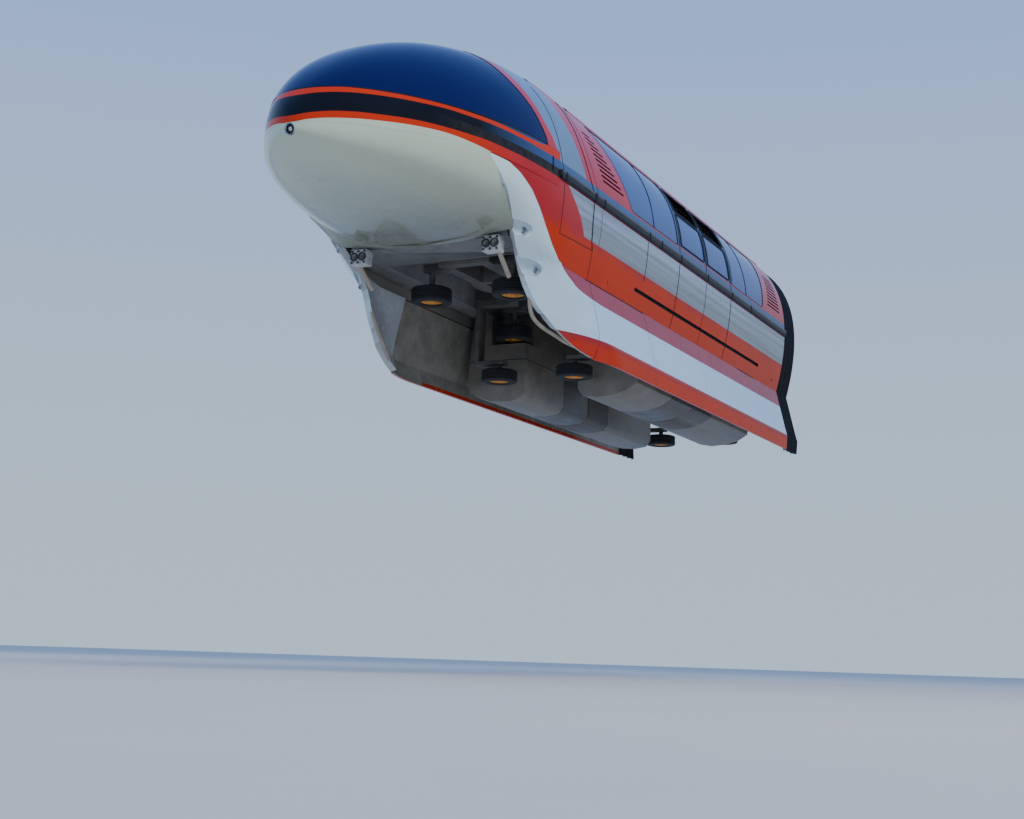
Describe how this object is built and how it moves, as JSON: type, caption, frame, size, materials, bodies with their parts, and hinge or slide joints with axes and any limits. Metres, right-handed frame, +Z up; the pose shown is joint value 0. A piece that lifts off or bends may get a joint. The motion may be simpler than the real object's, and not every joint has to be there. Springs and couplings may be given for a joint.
{
  "type": "monorail cab car",
  "caption": "Streamlined leading car of a straddle-beam monorail, with bubble nose, arched body, deep skirts and rubber-tyred bogies.",
  "frame": {"origin": "on the beam's running surface, on the car's centre line, half way between the two bogie pivots", "axes": "+X towards the nose, +Y to the car's left, +Z up"},
  "size_m": [11.58, 2.528, 2.965],
  "materials": {
    "body_paint": "gloss",
    "white_paint": "gloss",
    "black_gloss": "gloss",
    "window_glass": "tinted",
    "canopy_glass": "tinted",
    "floor_metal": "satin",
    "inner_panel": "matt",
    "bellows_rubber": "matt",
    "dark_trim": "matt",
    "seat_fabric": "matt",
    "equipment_pan": "satin",
    "bracket": "satin",
    "bogie_steel": "satin",
    "motor_casing": "satin",
    "tyre": "matt"
  },
  "bodies": {
    "car_body": {"side_front_left": "body_paint", "side_rear_left": "body_paint", "door_leaf_front_left": "body_paint", "door_leaf_rear_left": "body_paint", "glass_front_left": "window_glass", "glass_rear_left": "window_glass", "glass_door_front_left": "window_glass", "glass_door_rear_left": "window_glass", "skirt_left": "white_paint", "fin_left": "white_paint", "equipment_pan_left": "equipment_pan", "towing_bracket_left": "bracket", "cab_seat_left": "seat_fabric", "side_front_right": "body_paint", "side_rear_right": "body_paint", "door_leaf_front_right": "body_paint", "door_leaf_rear_right": "body_paint", "glass_front_right": "window_glass", "glass_rear_right": "window_glass", "glass_door_front_right": "window_glass", "glass_door_rear_right": "window_glass", "skirt_right": "white_paint", "fin_right": "white_paint", "equipment_pan_right": "equipment_pan", "towing_bracket_right": "bracket", "cab_seat_right": "seat_fabric", "canopy": "canopy_glass", "cab_hoop": "body_paint", "roof": "body_paint", "nose_band": "black_gloss", "belly": "white_paint", "floor": "floor_metal", "wheel_housing_front": "floor_metal", "wheel_housing_rear": "floor_metal", "rear_wall": "inner_panel", "cab_partition": "inner_panel", "gangway_bellows": "bellows_rubber", "cab_floor_and_desk": "dark_trim", "bench_front": "seat_fabric", "bench_rear": "seat_fabric"},
    "bogie_front": {"bogie_frame_front": "bogie_steel", "traction_motor_front": "motor_casing"},
    "bogie_rear": {"bogie_frame_rear": "bogie_steel", "traction_motor_rear": "motor_casing"},
    "load_wheel_front_body": {"load_wheel_front": "tyre"},
    "guide_wheel_outer_left_front_body": {"guide_wheel_outer_left_front": "tyre"},
    "guide_wheel_inner_left_front_body": {"guide_wheel_inner_left_front": "tyre"},
    "steady_wheel_left_front_body": {"steady_wheel_left_front": "tyre"},
    "guide_wheel_outer_right_front_body": {"guide_wheel_outer_right_front": "tyre"},
    "guide_wheel_inner_right_front_body": {"guide_wheel_inner_right_front": "tyre"},
    "steady_wheel_right_front_body": {"steady_wheel_right_front": "tyre"},
    "load_wheel_rear_body": {"load_wheel_rear": "tyre"},
    "guide_wheel_outer_left_rear_body": {"guide_wheel_outer_left_rear": "tyre"},
    "guide_wheel_inner_left_rear_body": {"guide_wheel_inner_left_rear": "tyre"},
    "steady_wheel_left_rear_body": {"steady_wheel_left_rear": "tyre"},
    "guide_wheel_outer_right_rear_body": {"guide_wheel_outer_right_rear": "tyre"},
    "guide_wheel_inner_right_rear_body": {"guide_wheel_inner_right_rear": "tyre"},
    "steady_wheel_right_rear_body": {"steady_wheel_right_rear": "tyre"}
  },
  "joints": [
    {"name": "bogie_yaw_front", "type": "hinge", "parent": "car_body", "child": "bogie_front", "pos_m": [3.1, 0, 0], "axis": [0, 0, 1], "range_deg": [-4.5, 4.5]},
    {"name": "bogie_yaw_rear", "type": "hinge", "parent": "car_body", "child": "bogie_rear", "pos_m": [-3.1, 0, 0], "axis": [0, 0, 1], "range_deg": [-4.5, 4.5]},
    {"name": "load_wheel_front_spin", "type": "hinge", "parent": "bogie_front", "child": "load_wheel_front_body", "pos_m": [3.1, 0, 0.28], "axis": [0, 1, 0], "continuous": true},
    {"name": "guide_wheel_outer_left_front_spin", "type": "hinge", "parent": "bogie_front", "child": "guide_wheel_outer_left_front_body", "pos_m": [4.05, 0.4655, -0.135], "axis": [0, 0, 1], "continuous": true},
    {"name": "guide_wheel_inner_left_front_spin", "type": "hinge", "parent": "bogie_front", "child": "guide_wheel_inner_left_front_body", "pos_m": [2.15, 0.4655, -0.135], "axis": [0, 0, 1], "continuous": true},
    {"name": "steady_wheel_left_front_spin", "type": "hinge", "parent": "bogie_front", "child": "steady_wheel_left_front_body", "pos_m": [2.5, 0.4555, -0.69], "axis": [0, 0, 1], "continuous": true},
    {"name": "guide_wheel_outer_right_front_spin", "type": "hinge", "parent": "bogie_front", "child": "guide_wheel_outer_right_front_body", "pos_m": [4.05, -0.4655, -0.135], "axis": [0, 0, 1], "continuous": true},
    {"name": "guide_wheel_inner_right_front_spin", "type": "hinge", "parent": "bogie_front", "child": "guide_wheel_inner_right_front_body", "pos_m": [2.15, -0.4655, -0.135], "axis": [0, 0, 1], "continuous": true},
    {"name": "steady_wheel_right_front_spin", "type": "hinge", "parent": "bogie_front", "child": "steady_wheel_right_front_body", "pos_m": [2.5, -0.4555, -0.69], "axis": [0, 0, 1], "continuous": true},
    {"name": "load_wheel_rear_spin", "type": "hinge", "parent": "bogie_rear", "child": "load_wheel_rear_body", "pos_m": [-3.1, 0, 0.28], "axis": [0, 1, 0], "continuous": true},
    {"name": "guide_wheel_outer_left_rear_spin", "type": "hinge", "parent": "bogie_rear", "child": "guide_wheel_outer_left_rear_body", "pos_m": [-4.05, 0.4655, -0.135], "axis": [0, 0, 1], "continuous": true},
    {"name": "guide_wheel_inner_left_rear_spin", "type": "hinge", "parent": "bogie_rear", "child": "guide_wheel_inner_left_rear_body", "pos_m": [-2.15, 0.4655, -0.135], "axis": [0, 0, 1], "continuous": true},
    {"name": "steady_wheel_left_rear_spin", "type": "hinge", "parent": "bogie_rear", "child": "steady_wheel_left_rear_body", "pos_m": [-2.5, 0.4555, -0.69], "axis": [0, 0, 1], "continuous": true},
    {"name": "guide_wheel_outer_right_rear_spin", "type": "hinge", "parent": "bogie_rear", "child": "guide_wheel_outer_right_rear_body", "pos_m": [-4.05, -0.4655, -0.135], "axis": [0, 0, 1], "continuous": true},
    {"name": "guide_wheel_inner_right_rear_spin", "type": "hinge", "parent": "bogie_rear", "child": "guide_wheel_inner_right_rear_body", "pos_m": [-2.15, -0.4655, -0.135], "axis": [0, 0, 1], "continuous": true},
    {"name": "steady_wheel_right_rear_spin", "type": "hinge", "parent": "bogie_rear", "child": "steady_wheel_right_rear_body", "pos_m": [-2.5, -0.4555, -0.69], "axis": [0, 0, 1], "continuous": true}
  ]
}
